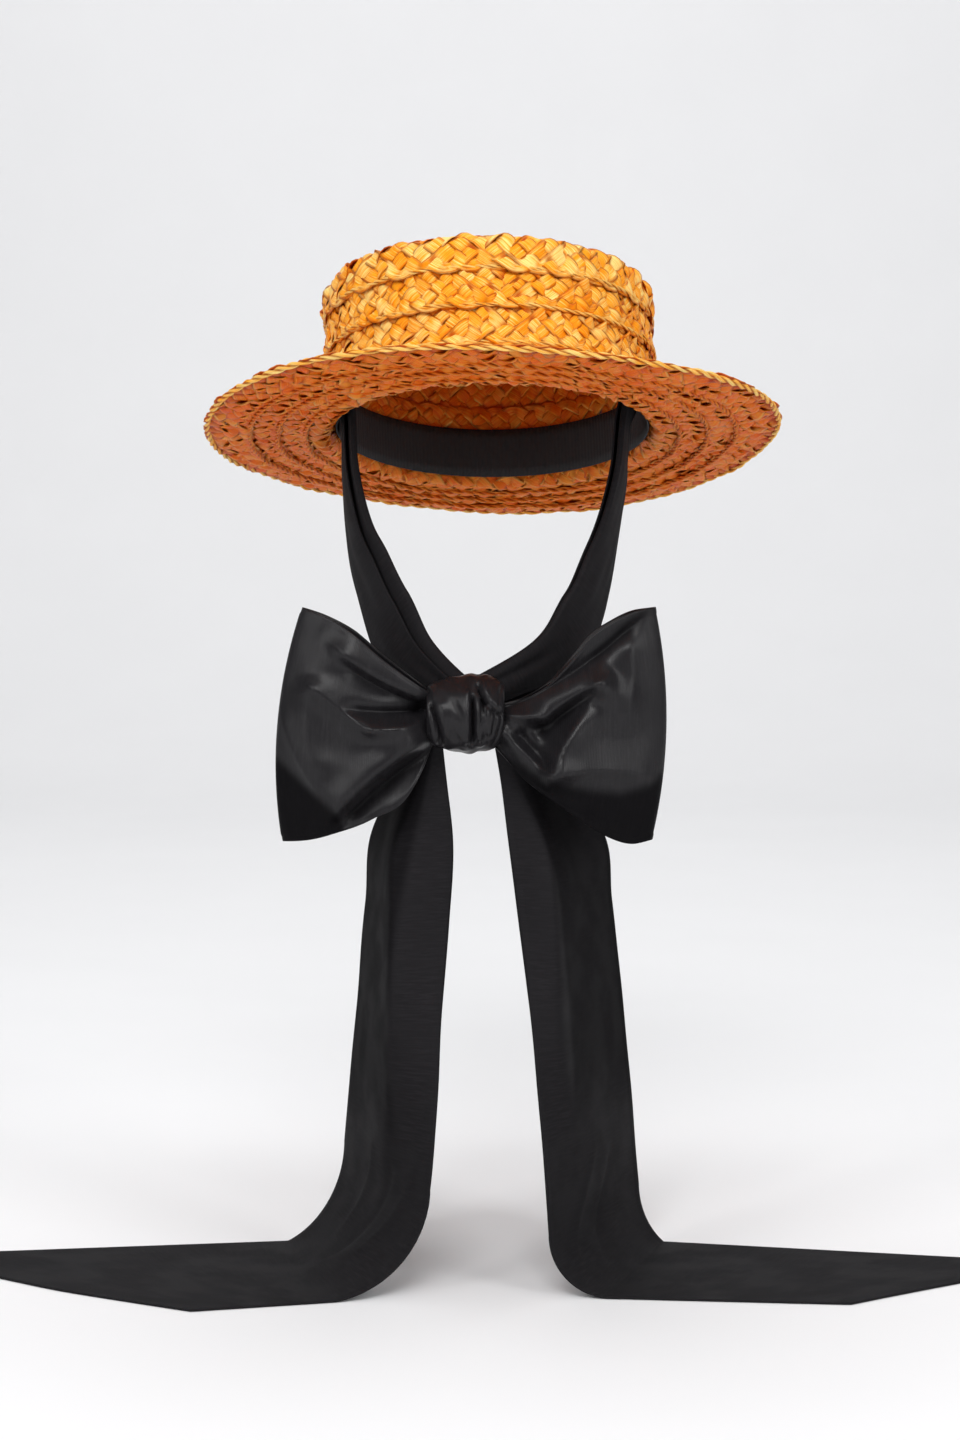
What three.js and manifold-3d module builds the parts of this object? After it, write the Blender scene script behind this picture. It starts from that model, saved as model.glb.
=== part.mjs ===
// A straw boater tied on with a wide taffeta sash.
// The crown, brim and sweatband are tipped back as worn. The sash runs from inside the crown down both
// sides to a bow, and its two ends hang from the knot and lie out over the floor.

import * as THREE from "three";
import { mergeVertices } from "three/addons/utils/BufferGeometryUtils.js";
import Module from "manifold-3d";

const wasm = await Module();
wasm.setup();

// Driving dimensions in millimetres and degrees.
// The origin is the middle of the head opening, +X is the wearer's left and -Y is the front.
const HEAD = { halfWidth: 83, halfLength: 99 };
const TILT = 14.5;
const GAP = 0.3;
const STRAW = 3;
const ROW_LIP = 0.9;
const ROW_EDGE = 0.8;
const RING_STEPS = 48;
const CROWN = { height: 78, shoulder: 6, rowPitch: 19.3, sideRows: 3, tipRows: 5, lean: -3 };
const BRIM = { outset: 66, rows: 4, fillet: 5, collar: 8 };
const SWEATBAND = { thickness: 1, bottom: 3, top: 30 };

// Slow waves of the brim's edge: how often each repeats round the oval, its rise and where it starts
const BRIM_WAVES = [
  { cycles: 1, rise: 0.8, start: 90 },
  { cycles: 2, rise: 1.6, start: 0 },
  { cycles: 3, rise: 1.8, start: 0 },
];

// The sash: its cut width, the wall of the doubled cloth and the floor that its ends lie on
const SASH = { width: 120, wall: 1 };
const FLOOR = -435;
const BOW = new THREE.Vector3(-13.8, -82, -138.5);

// The knot is wound round an axis across the front: half its length, then one row per pleat crest or valley
const KNOT = { half: 20.8, depthShare: 0.92, slant: 2.5, steps: 20 };
const KNOT_PLEATS = [
  { along: -20.8, radius: 12 },
  { along: -18, radius: 17 },
  { along: -10, radius: 18.6 },
  { along: -6.5, radius: 16.8 },
  { along: -1.5, radius: 18.8 },
  { along: 2.5, radius: 17 },
  { along: 7.5, radius: 18.4 },
  { along: 11, radius: 16 },
  { along: 16, radius: 16.4 },
  { along: 20.8, radius: 11 },
];

// Each tie is the sash folded in three: one row per layer, from edge to edge across the folded band
const TIE = { layerPitch: 2.4, bendRadius: 117, knotWidth: 0.5, gatherFrom: 0.7 };
const TIE_STEPS = { along: 14, layer: 2, turn: 4 };
const TIE_LAYERS = [
  { from: -15, to: 19, level: 1 },
  { from: 19, to: -21, level: 0 },
  { from: -21, to: 19, level: -1 },
];

// Middle line of each tie, from the sweatband down to the knot, and how far its outer face turns to the front
const TIES = [
  {
    name: "tie_left",
    side: -1,
    route: [
      { x: -78.7, y: 4, z: 27, facing: 0 },
      { x: -76, y: -5, z: 8, facing: 3 },
      { x: -75, y: -13, z: -22, facing: 6 },
      { x: -70, y: -20, z: -54, facing: 14 },
      { x: -63, y: -28, z: -74, facing: 22 },
      { x: -54.5, y: -38, z: -94, facing: 30 },
      { x: -43, y: -51, z: -113, facing: 42 },
      { x: -20, y: -72, z: -131, facing: 55 },
    ],
  },
  {
    name: "tie_right",
    side: 1,
    route: [
      { x: 77, y: 4, z: 27, facing: 0 },
      { x: 69, y: -5, z: 8, facing: 3 },
      { x: 66.5, y: -13, z: -22, facing: 6 },
      { x: 60, y: -20, z: -54, facing: 14 },
      { x: 54, y: -28, z: -74, facing: 22 },
      { x: 46, y: -38, z: -94, facing: 30 },
      { x: 31, y: -51, z: -113, facing: 42 },
      { x: -6, y: -72, z: -131, facing: 55 },
    ],
  },
];

// Each bow loop is a band that leaves the knot, turns at its outer edge and comes back behind.
// Reach is from the middle of the knot; sections give its edges and half its depth; folds fan out
// from the knot, with places across the band as shares from its lower edge and rise outwards.
const LOOP = { start: 15, stepsAlong: 18, stepsAcross: 14, foldNarrow: 0.6, foldFade: 0.6 };
const LOOPS = [
  {
    name: "bow_loop_left",
    side: -1,
    reach: { top: 81, middle: 93.5, bottom: 91.5 },
    sections: [
      { along: 0, top: 9, bottom: -13, depth: 4 },
      { along: 0.17, top: 17, bottom: -40, depth: 9 },
      { along: 0.4, top: 28.5, bottom: -51.5, depth: 13 },
      { along: 0.63, top: 41.5, bottom: -58.5, depth: 15 },
      { along: 0.82, top: 48.5, bottom: -62.5, depth: 15 },
      { along: 1, top: 53, bottom: -64, depth: 15 },
    ],
    folds: [
      { start: 0.95, end: 0.93, reach: 0.8, width: 0.08, rise: 3 },
      { start: 0.85, end: 0.8, reach: 0.65, width: 0.07, rise: -4 },
      { start: 0.56, end: 0.62, reach: 0.6, width: 0.08, rise: -6 },
      { start: 0.42, end: 0.68, reach: 0.95, width: 0.1, rise: 4 },
      { start: 0.32, end: 0.2, reach: 0.8, width: 0.1, rise: 4 },
      { start: 0.22, end: 0.09, reach: 0.75, width: 0.08, rise: -5 },
    ],
  },
  {
    name: "bow_loop_right",
    side: 1,
    reach: { top: 94, middle: 100, bottom: 93 },
    sections: [
      { along: 0, top: 4, bottom: -17, depth: 4 },
      { along: 0.17, top: 7.5, bottom: -31, depth: 9 },
      { along: 0.34, top: 15.5, bottom: -41, depth: 12 },
      { along: 0.5, top: 29.5, bottom: -50, depth: 14 },
      { along: 0.6, top: 39, bottom: -55.5, depth: 15 },
      { along: 0.72, top: 45.5, bottom: -61, depth: 15 },
      { along: 0.86, top: 51, bottom: -64.5, depth: 15 },
      { along: 1, top: 53, bottom: -63, depth: 15 },
    ],
    folds: [
      { start: 0.72, end: 0.97, reach: 0.92, width: 0.06, rise: -3 },
      { start: 0.65, end: 0.83, reach: 0.65, width: 0.07, rise: 4 },
      { start: 0.35, end: 0.74, reach: 0.72, width: 0.09, rise: -6 },
      { start: 0.1, end: 0.72, reach: 0.8, width: 0.11, rise: 4 },
      { start: 0.6, end: 0.12, reach: 0.4, width: 0.09, rise: 3 },
    ],
  },
];

// Each tail hangs from the knot, folded lengthwise along a ridge, turns at the floor and lies outwards.
// Rows give heights, the sideways places of its inner edge, ridge and outer edge as they show from the
// front, how far forward inner edge and ridge lie, and the share of the width that is gathered.
// On the floor each edge has the radius of its bend, its run and the angle that it turns to the front.
const TAIL = { ridgeSteps: 3, backSteps: 5, hangSteps: 8, bendSteps: 4, floorSteps: 4 };
const TAILS = [
  {
    name: "tail_left",
    side: -1,
    hang: [
      { height: -145, inner: -26, ridge: -28, outer: -30, innerY: -74, ridgeY: -75, gather: 0.94 },
      { height: -175, inner: -23, ridge: -38, outer: -49, innerY: -66, ridgeY: -69, gather: 0.65 },
      { height: -205, inner: -20, ridge: -49, outer: -63, innerY: -69, ridgeY: -76, gather: 0.3 },
      { height: -245, inner: -22, ridge: -51, outer: -67, innerY: -73, ridgeY: -80, gather: 0.08 },
      { height: -295, inner: -26, ridge: -52, outer: -72, innerY: -80, ridgeY: -78, gather: 0 },
      { height: -345, inner: -29, ridge: -54, outer: -77, innerY: -84, ridgeY: -60, gather: 0 },
      { height: -401, inner: -35, ridge: -58, outer: -82, innerY: -84, ridgeY: -30, gather: 0 },
    ],
    front: { bend: 55, run: 66, turn: 13 },
    back: { bend: 32, run: 206, turn: 8 },
  },
  {
    name: "tail_right",
    side: 1,
    hang: [
      { height: -145, inner: -1, ridge: 1, outer: 3, innerY: -74, ridgeY: -75, gather: 0.94 },
      { height: -175, inner: 4, ridge: 16, outer: 34, innerY: -66, ridgeY: -68, gather: 0.65 },
      { height: -205, inner: 8, ridge: 27, outer: 57, innerY: -69, ridgeY: -76, gather: 0.3 },
      { height: -245, inner: 13, ridge: 31, outer: 63, innerY: -73, ridgeY: -80, gather: 0.08 },
      { height: -295, inner: 19, ridge: 34, outer: 69, innerY: -80, ridgeY: -78, gather: 0 },
      { height: -345, inner: 24, ridge: 41, outer: 74, innerY: -85, ridgeY: -62, gather: 0 },
      { height: -401, inner: 28, ridge: 53, outer: 79, innerY: -86, ridgeY: -32, gather: 0 },
    ],
    front: { bend: 32, run: 120, turn: 5 },
    back: { bend: 14, run: 216, turn: 11.7 },
  },
];

// Finishes
const STRAW_FINISH = { color: 0xe88a24, roughness: 0.55, metalness: 0 };
const BAND_FINISH = { color: 0x161415, roughness: 0.8, metalness: 0 };
const TAFFETA_FINISH = { color: 0x232022, roughness: 0.42, metalness: 0 };

const { lerp, smoothstep, degToRad } = THREE.MathUtils;

// A table read on a smooth curve through its rows: the key column picks the place
function tableCurve(rows, key) {
  const columns = Object.keys(rows[0]).filter((column) => column !== key);
  const places = rows.map((row) => row[key]);
  const values = rows.flatMap((row) => columns.map((column) => row[column]));
  const curve = new THREE.CubicInterpolant(places, values, columns.length);
  return (place) => {
    const result = curve.evaluate(place);
    return Object.fromEntries(columns.map((column, index) => [column, result[index]]));
  };
}

// Rings inside the head line shrink in proportion to it, and rings outside it keep an even distance
function ovalPoint(radius, angle, height) {
  const proportion = HEAD.halfLength / HEAD.halfWidth;
  const lengthen = HEAD.halfLength - HEAD.halfWidth;
  const halfLength = radius < HEAD.halfWidth ? radius * proportion : radius + lengthen;
  return new THREE.Vector3(radius * Math.cos(angle), halfLength * Math.sin(angle), height);
}

// A geometry with only its places left and its shared corners joined
function joined(geometry) {
  geometry.deleteAttribute("normal");
  geometry.deleteAttribute("uv");
  return mergeVertices(geometry);
}

// Move every corner of a geometry by a function from place to place
function reshape(geometry, move) {
  const position = geometry.getAttribute("position");
  const point = new THREE.Vector3();
  for (let i = 0; i < position.count; i += 1) {
    const moved = move(point.fromBufferAttribute(position, i));
    position.setXYZ(i, moved.x, moved.y, moved.z);
  }
  return geometry;
}

// A profile of outsets from the head line and heights, carried round the oval
function ovalRing(profile, wave = () => 0) {
  const points = profile.map(([outset, height]) => {
    return new THREE.Vector2(Math.max(0, HEAD.halfWidth + outset), height);
  });
  const ring = joined(new THREE.LatheGeometry(points, RING_STEPS).rotateX(Math.PI / 2));
  return reshape(ring, (point) => {
    const angle = Math.atan2(point.y, point.x);
    const radius = Math.hypot(point.x, point.y);
    return ovalPoint(radius, angle, point.z + wave(angle, radius - HEAD.halfWidth));
  });
}

// Points of a quarter arc in a profile, about a centre and from one angle to another
function arcPoints(outset, height, radius, fromAngle, toAngle, steps) {
  return Array.from({ length: steps + 1 }, (_, step) => {
    const angle = degToRad(lerp(fromAngle, toAngle, step / steps));
    return [outset + radius * Math.cos(angle), height + radius * Math.sin(angle)];
  });
}

// A grid of points thickened along its normals and closed round its border
function clothWall(rows, thickness) {
  const lastRow = rows.length - 1;
  const lastPoint = rows[0].length - 1;
  const along = new THREE.Vector3();
  const across = new THREE.Vector3();
  const positions = [];
  for (const side of [1, -1]) {
    rows.forEach((row, i) => {
      row.forEach((point, j) => {
        along.subVectors(rows[Math.min(i + 1, lastRow)][j], rows[Math.max(i - 1, 0)][j]);
        across.subVectors(row[Math.min(j + 1, lastPoint)], row[Math.max(j - 1, 0)]);
        const normal = along.cross(across).normalize();
        positions.push(...point.clone().addScaledVector(normal, (side * thickness) / 2));
      });
    });
  }
  const outer = (i, j) => i * (lastPoint + 1) + j;
  const inner = (i, j) => outer(i, j) + positions.length / 6;
  const triangles = [];
  const quad = (a, b, c, d) => triangles.push(a, b, c, a, c, d);
  for (let i = 0; i < lastRow; i += 1) {
    for (let j = 0; j < lastPoint; j += 1) {
      quad(outer(i, j), outer(i + 1, j), outer(i + 1, j + 1), outer(i, j + 1));
      quad(inner(i, j), inner(i, j + 1), inner(i + 1, j + 1), inner(i + 1, j));
    }
    quad(outer(i + 1, 0), outer(i, 0), inner(i, 0), inner(i + 1, 0));
    quad(outer(i, lastPoint), outer(i + 1, lastPoint), inner(i + 1, lastPoint), inner(i, lastPoint));
  }
  for (let j = 0; j < lastPoint; j += 1) {
    quad(outer(0, j), outer(0, j + 1), inner(0, j + 1), inner(0, j));
    quad(outer(lastRow, j + 1), outer(lastRow, j), inner(lastRow, j), inner(lastRow, j + 1));
  }
  const wall = new THREE.BufferGeometry();
  wall.setAttribute("position", new THREE.Float32BufferAttribute(positions, 3));
  wall.setIndex(triangles);
  return wall;
}

// A closed geometry as a solid that can be cut
function solidOf(geometry) {
  const vertProperties = Float32Array.from(geometry.getAttribute("position").array);
  const triVerts = Uint32Array.from(geometry.getIndex().array);
  return new wasm.Manifold(new wasm.Mesh({ numProp: 3, vertProperties, triVerts }));
}

// What is left of a piece outside a cutter; only the main body is kept
function cutAway(geometry, cutter) {
  const bodies = solidOf(geometry).subtract(solidOf(cutter)).decompose();
  bodies.sort((a, b) => b.volume() - a.volume());
  const { vertProperties, triVerts } = bodies[0].getMesh();
  const rest = new THREE.BufferGeometry();
  rest.setAttribute("position", new THREE.Float32BufferAttribute(vertProperties, 3));
  rest.setIndex(Array.from(triVerts));
  return rest;
}

function namedMesh(name, geometry, finish) {
  geometry.computeVertexNormals();
  const mesh = new THREE.Mesh(geometry, new THREE.MeshStandardMaterial(finish));
  mesh.name = name;
  return mesh;
}

// The crown and what lines it lean a little to one side above the brim
function leaning(geometry) {
  const foot = BRIM.collar + GAP;
  return reshape(geometry, (point) => {
    const share = Math.max(0, point.z - foot) / (CROWN.height - foot);
    return point.setX(point.x + CROWN.lean * share);
  });
}

// The crown: a plain ceiling and wall inside, and outside the lapped rows of sewn braid
function crownGeometry() {
  const foot = BRIM.collar + GAP;
  const ceiling = CROWN.height - STRAW;
  const innerRound = CROWN.shoulder - STRAW;
  const sideTop = CROWN.height - CROWN.shoulder;
  const inside = [
    [-HEAD.halfWidth, ceiling],
    ...arcPoints(-innerRound, ceiling - innerRound, innerRound, 90, 0, 2),
    [0, foot],
  ];
  const side = [[STRAW + ROW_LIP, foot]];
  for (let row = 1; row <= CROWN.sideRows; row += 1) {
    const seam = row * CROWN.rowPitch;
    side.push([STRAW, seam - ROW_EDGE], [STRAW + ROW_LIP, seam + ROW_EDGE]);
  }
  const shoulder = arcPoints(STRAW - CROWN.shoulder, sideTop, CROWN.shoulder, 0, 90, 3);
  const tipRadius = HEAD.halfWidth + STRAW - CROWN.shoulder;
  const tip = [];
  for (let row = CROWN.tipRows - 1; row > 0; row -= 1) {
    const seam = (row / CROWN.tipRows) * tipRadius - HEAD.halfWidth;
    tip.push([seam + ROW_EDGE, CROWN.height - ROW_LIP], [seam - ROW_EDGE, CROWN.height]);
  }
  return leaning(ovalRing([...inside, ...side, ...shoulder, ...tip, [-HEAD.halfWidth, CROWN.height]]));
}

// The brim: rows of braid, each a little raised towards its outer edge, and a collar turned up inside
function brimGeometry() {
  const half = STRAW / 2;
  const lift = ROW_LIP / 2;
  const filletOutset = STRAW + BRIM.fillet;
  const filletHeight = half + BRIM.fillet;
  const collar = [[0, BRIM.collar]];
  const under = arcPoints(filletOutset, filletHeight, filletOutset, 180, 270, 3);
  const upper = arcPoints(filletOutset, filletHeight, BRIM.fillet, 270, 180, 3);
  const pitch = (BRIM.outset - filletOutset) / BRIM.rows;
  const underRows = [];
  const upperRows = [];
  for (let row = 1; row < BRIM.rows; row += 1) {
    const seam = filletOutset + row * pitch;
    underRows.push([seam - ROW_EDGE, lift - half], [seam + ROW_EDGE, -lift - half]);
    upperRows.unshift([seam + ROW_EDGE, half - lift], [seam - ROW_EDGE, half + lift]);
  }
  const rim = [
    [BRIM.outset - half, lift - half],
    [BRIM.outset, lift],
    [BRIM.outset - half, lift + half],
  ];
  const profile = [...collar, ...under, ...underRows, ...rim, ...upperRows, ...upper];
  const closed = [...profile, [STRAW, BRIM.collar], collar[0]];
  return ovalRing(closed, (angle, outset) => {
    const share = smoothstep(outset, filletOutset, BRIM.outset);
    const waves = BRIM_WAVES.map(({ cycles, rise, start }) => {
      return rise * Math.cos(cycles * angle - degToRad(start));
    });
    return share * waves.reduce((sum, wave) => sum + wave, 0);
  });
}

function sweatbandGeometry() {
  const { thickness, bottom, top } = SWEATBAND;
  const inner = -GAP - thickness;
  return leaning(ovalRing([[inner, top], [inner, bottom], [-GAP, bottom], [-GAP, top], [inner, top]]));
}

// The knot: pleats wound about the X axis, each leaning a little from top to bottom
function knotGeometry(outset) {
  const half = KNOT.half + outset;
  const pleats = KNOT_PLEATS.map(({ along, radius }) => {
    return new THREE.Vector2(radius + outset, (along / KNOT.half) * half);
  });
  const profile = [new THREE.Vector2(0, -half), ...pleats, new THREE.Vector2(0, half)];
  const wound = joined(new THREE.LatheGeometry(profile, KNOT.steps).rotateZ(-Math.PI / 2));
  return reshape(wound, (point) => {
    const lean = KNOT.slant * (point.z / KNOT.half) * (1 - Math.abs(point.x) / half);
    return new THREE.Vector3(point.x + lean, point.y * KNOT.depthShare, point.z).add(BOW);
  });
}

// The folded band's section: straight layers joined by half turns, as places across and heights
function foldedSection() {
  const section = [];
  TIE_LAYERS.forEach(({ from, to, level }, index) => {
    for (let step = 0; step <= TIE_STEPS.layer; step += 1) {
      section.push({ across: lerp(from, to, step / TIE_STEPS.layer), height: level * TIE.layerPitch });
    }
    if (index === TIE_LAYERS.length - 1) return;
    const radius = TIE.layerPitch / 2;
    for (let step = 1; step < TIE_STEPS.turn; step += 1) {
      const angle = (Math.PI * step) / TIE_STEPS.turn;
      section.push({
        across: to + Math.sign(to - from) * radius * Math.sin(angle),
        height: (level - 0.5) * TIE.layerPitch + radius * Math.cos(angle),
      });
    }
  });
  return section;
}

// A tie: the folded section carried down its route, lying flat on a round head and gathered at the knot
function tieGeometry({ side, route }) {
  const path = new THREE.CatmullRomCurve3(route.map(({ x, y, z }) => new THREE.Vector3(x, y, z)));
  const facingWay = new THREE.CatmullRomCurve3(route.map(({ facing }) => {
    const angle = degToRad(facing);
    return new THREE.Vector3(side * Math.cos(angle), -Math.sin(angle), 0);
  }));
  const section = foldedSection();
  const rows = [];
  for (let step = 0; step <= TIE_STEPS.along; step += 1) {
    const place = step / TIE_STEPS.along;
    const middle = path.getPoint(place);
    const down = path.getTangent(place);
    const sideways = new THREE.Vector3().crossVectors(down, facingWay.getPoint(place)).normalize();
    const outward = new THREE.Vector3().crossVectors(sideways, down);
    const narrowing = lerp(1, TIE.knotWidth, smoothstep(place, TIE.gatherFrom, 1));
    rows.push(section.map(({ across, height }) => {
      const roundness = across ** 2 / (2 * TIE.bendRadius);
      const point = middle.clone().addScaledVector(sideways, across * narrowing);
      return point.addScaledVector(outward, height - roundness);
    }));
  }
  return clothWall(rows, SASH.wall);
}

// How far a loop's folds stand out at a place along and across its band
function foldRise(folds, along, share) {
  return folds.reduce((sum, { start, end, reach, width, rise }) => {
    const middle = lerp(start, end, along / reach);
    const spread = width * lerp(LOOP.foldNarrow, 1, along);
    const fade = 1 - smoothstep(along, LOOP.foldFade * reach, reach);
    return sum + rise * fade * Math.exp(-(((share - middle) / spread) ** 2));
  }, 0);
}

// A bow loop: half a turn about its outer edge takes the band from the knot to the edge and back
function loopGeometry({ side, reach, sections, folds }) {
  const sectionAt = tableCurve(sections, "along");
  const rows = [];
  for (let step = 0; step <= LOOP.stepsAlong; step += 1) {
    const turn = (Math.PI * step) / LOOP.stepsAlong;
    const along = Math.sin(turn);
    const { top, bottom, depth } = sectionAt(along);
    const row = [];
    for (let j = 0; j <= LOOP.stepsAcross; j += 1) {
      const share = j / LOOP.stepsAcross;
      const straight = lerp(reach.bottom, reach.top, share);
      const bowing = reach.middle - (reach.bottom + reach.top) / 2;
      const outer = straight + bowing * 4 * share * (1 - share);
      const sideways = side * lerp(LOOP.start, outer, along);
      const forward = Math.cos(turn) * (depth + foldRise(folds, along, share));
      row.push(new THREE.Vector3(sideways, -forward, lerp(bottom, top, share)).add(BOW));
    }
    rows.push(row);
  }
  return clothWall(rows, SASH.wall);
}

// One section of a hanging tail: inner edge to ridge, then back to the outer edge by the cloth's true width
function tailSection({ inner, ridge, outer, innerY, ridgeY, gather }, height) {
  const innerEdge = new THREE.Vector3(inner, innerY, height);
  const ridgeLine = new THREE.Vector3(ridge, ridgeY, height);
  const backWidth = SASH.width * (1 - gather) - innerEdge.distanceTo(ridgeLine);
  const backDepth = Math.sqrt(Math.max(0, backWidth ** 2 - (outer - ridge) ** 2));
  const outerEdge = new THREE.Vector3(outer, ridgeY + backDepth, height);
  const row = [];
  for (let step = 0; step < TAIL.ridgeSteps; step += 1) {
    row.push(innerEdge.clone().lerp(ridgeLine, step / TAIL.ridgeSteps));
  }
  for (let step = 0; step <= TAIL.backSteps; step += 1) {
    row.push(ridgeLine.clone().lerp(outerEdge, step / TAIL.backSteps));
  }
  return row;
}

// A tail: hanging sections, then a turn at the floor and a run outwards to a slanting end
function tailGeometry({ side, hang, front, back }) {
  const hangAt = tableCurve(hang.map((row) => ({ ...row, drop: -row.height })), "drop");
  const bendHeight = Math.max(front.bend, back.bend);
  const top = hang[0].height;
  const foot = FLOOR + SASH.wall / 2 + bendHeight;
  const rows = [];
  for (let step = 0; step <= TAIL.hangSteps; step += 1) {
    const height = lerp(top, foot, step / TAIL.hangSteps);
    rows.push(tailSection(hangAt(-height), height));
  }
  const footRow = rows[TAIL.hangSteps];
  const footWidth = footRow[footRow.length - 1].distanceTo(footRow[0]);
  const lay = (bendShare, runShare) => footRow.map((point) => {
    const share = point.distanceTo(footRow[0]) / footWidth;
    const bend = lerp(front.bend, back.bend, share);
    const turn = degToRad(lerp(front.turn, back.turn, share));
    const angle = (Math.PI / 2) * bendShare;
    const out = bend * (1 - Math.cos(angle)) + runShare * lerp(front.run, back.run, share);
    const below = (bendHeight - bend) * bendShare + bend * Math.sin(angle);
    const way = new THREE.Vector3(side * Math.cos(turn), -Math.sin(turn), 0);
    return point.clone().addScaledVector(way, out).setZ(point.z - below);
  });
  for (let step = 1; step <= TAIL.bendSteps; step += 1) {
    rows.push(lay(step / TAIL.bendSteps, 0));
  }
  for (let step = 1; step <= TAIL.floorSteps; step += 1) {
    rows.push(lay(1, step / TAIL.floorSteps));
  }
  return clothWall(rows, SASH.wall);
}

// The assembly
const hat = new THREE.Group();
hat.rotation.x = degToRad(-TILT);
hat.add(namedMesh("crown", crownGeometry(), STRAW_FINISH));
hat.add(namedMesh("brim", brimGeometry(), STRAW_FINISH));
hat.add(namedMesh("sweatband", sweatbandGeometry(), BAND_FINISH));

const sash = new THREE.Group();
const knotRoom = knotGeometry(GAP);
sash.add(namedMesh("bow_knot", knotGeometry(0), TAFFETA_FINISH));
for (const tie of TIES) {
  sash.add(namedMesh(tie.name, cutAway(tieGeometry(tie), knotRoom), TAFFETA_FINISH));
}
for (const loop of LOOPS) {
  sash.add(namedMesh(loop.name, cutAway(loopGeometry(loop), knotRoom), TAFFETA_FINISH));
}
for (const tail of TAILS) {
  sash.add(namedMesh(tail.name, cutAway(tailGeometry(tail), knotRoom), TAFFETA_FINISH));
}

const boater = new THREE.Group();
boater.add(hat, sash);

export default boater;
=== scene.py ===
# %% [markdown]
# # A straw boater with a black sash
#
# This script dresses a plain solid model of a hat. The solids come in first and fix every size. Each piece
# is then worked out with numpy as a surface over two parameters and put into a Blender mesh. The straw is
# really plaited, strand over strand, and the sash is a thin sheet of taffeta that is folded, tied and laid.

# %% Load the solid model
import math

import bpy
import numpy as np
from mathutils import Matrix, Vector


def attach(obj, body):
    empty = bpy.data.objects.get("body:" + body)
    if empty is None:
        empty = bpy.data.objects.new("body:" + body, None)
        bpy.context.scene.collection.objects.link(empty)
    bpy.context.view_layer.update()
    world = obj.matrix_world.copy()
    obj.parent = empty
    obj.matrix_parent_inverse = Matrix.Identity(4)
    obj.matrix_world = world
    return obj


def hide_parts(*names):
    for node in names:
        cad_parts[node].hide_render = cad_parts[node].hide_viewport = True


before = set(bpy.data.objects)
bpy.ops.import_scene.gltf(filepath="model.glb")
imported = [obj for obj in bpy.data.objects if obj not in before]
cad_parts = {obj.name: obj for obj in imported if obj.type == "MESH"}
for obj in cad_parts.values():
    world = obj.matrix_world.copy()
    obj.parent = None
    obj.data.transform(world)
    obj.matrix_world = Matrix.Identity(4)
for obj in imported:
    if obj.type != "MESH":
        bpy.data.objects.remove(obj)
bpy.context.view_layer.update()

print("solids:", ", ".join(sorted(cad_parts)))

# %% [markdown]
# ## Units and small helpers
#
# A milliner works in millimetres and Blender in metres, so every size below is in millimetres and one factor
# turns it when points go into a mesh. The helpers blend between values, read a table on a smooth curve, and
# turn a grid of points into faces. They take whole arrays, so no loop ever visits single points.

# %% Blending and reading tables
MM = 0.001


def blend(start, end, share):
    """The value that lies a share of the way from start to end."""
    return start + (end - start) * share


def ease(value, low, high):
    """Zero below low, one above high, and between them a soft S of 3t squared minus 2t cubed."""
    share = np.clip((value - low) / (high - low), 0, 1)
    return share * share * (3 - 2 * share)


def read_curve(places, values, at):
    """A smooth curve through a table: each stretch is a cubic whose slopes come from its neighbours."""
    places = np.asarray(places, float)
    values = np.asarray(values, float)
    slopes = np.gradient(values, places, axis=0)
    left = np.clip(np.searchsorted(places, at, side="right") - 1, 0, len(places) - 2)
    width = places[left + 1] - places[left]
    share = (at - places[left]) / width
    if values.ndim > 1:
        share = share[..., None]
        width = width[..., None]
    rest = 1 - share
    ends = values[left] * (1 + 2 * share) * rest**2 + values[left + 1] * (1 + 2 * rest) * share**2
    turns = slopes[left] * share * rest**2 - slopes[left + 1] * rest * share**2
    return ends + width * turns


def unit(vectors):
    """Vectors made one long."""
    return vectors / np.linalg.norm(vectors, axis=-1, keepdims=True)


# %% From a grid of points to a mesh
def grid_faces(rows, columns, close_rows=False, close_columns=False):
    """Corners of a grid's faces: each joins a point, the next row, the next column and both."""
    row = np.arange(rows if close_rows else rows - 1)[:, None]
    column = np.arange(columns if close_columns else columns - 1)[None, :]
    next_row = (row + 1) % rows
    next_column = (column + 1) % columns
    corners = [
        row * columns + column,
        next_row * columns + column,
        next_row * columns + next_column,
        row * columns + next_column,
    ]
    return np.stack(corners, axis=-1).reshape(-1, 4)


def grid_uv(along, across):
    """Each face corner's place on the flat piece, from the places of the rows and of the columns."""
    row = np.arange(len(along) - 1)[:, None] + np.array([0, 1, 1, 0])[None, :]
    column = np.arange(len(across) - 1)[:, None] + np.array([0, 0, 1, 1])[None, :]
    u = np.broadcast_to(along[row][:, None, :], (len(row), len(column), 4))
    v = np.broadcast_to(across[column][None, :, :], (len(row), len(column), 4))
    return np.stack([u, v], axis=-1).reshape(-1, 4, 2)


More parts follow.
